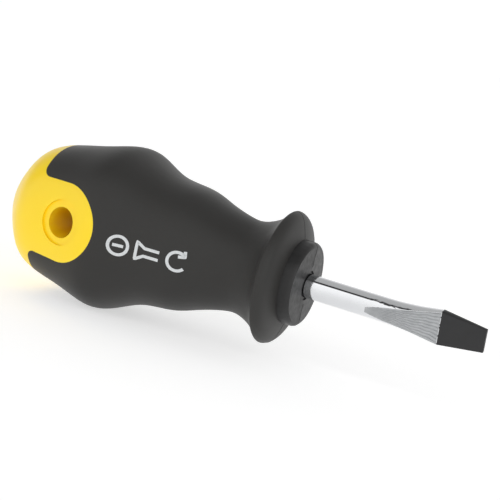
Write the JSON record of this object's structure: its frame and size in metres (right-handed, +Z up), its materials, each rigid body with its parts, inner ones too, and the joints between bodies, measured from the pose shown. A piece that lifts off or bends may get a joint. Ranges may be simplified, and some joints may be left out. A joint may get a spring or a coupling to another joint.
{
  "type": "screwdriver",
  "caption": "Short slotted screwdriver with a soft-grip handle, round guard flange, hard butt cap and a hanging hole through the butt.",
  "frame": {"origin": "centre of the blade's tip face", "axes": "+X along the tool axis out of the tip, Y along the hanging hole, +Z up across the handle"},
  "size_m": [0.1061, 0.035, 0.035],
  "materials": {
    "blade_steel": "satin chrome-vanadium steel with a dark phosphated tip",
    "core_plastic": "moulded hard polypropylene, satin",
    "cap_plastic": "moulded yellow polypropylene, semi-gloss",
    "grip_rubber": "soft-touch thermoplastic elastomer, matt"
  },
  "bodies": {
    "root": {"blade": "blade_steel", "handle_core": "core_plastic", "butt_cap": "cap_plastic", "soft_grip": "grip_rubber"}
  },
  "joints": []
}
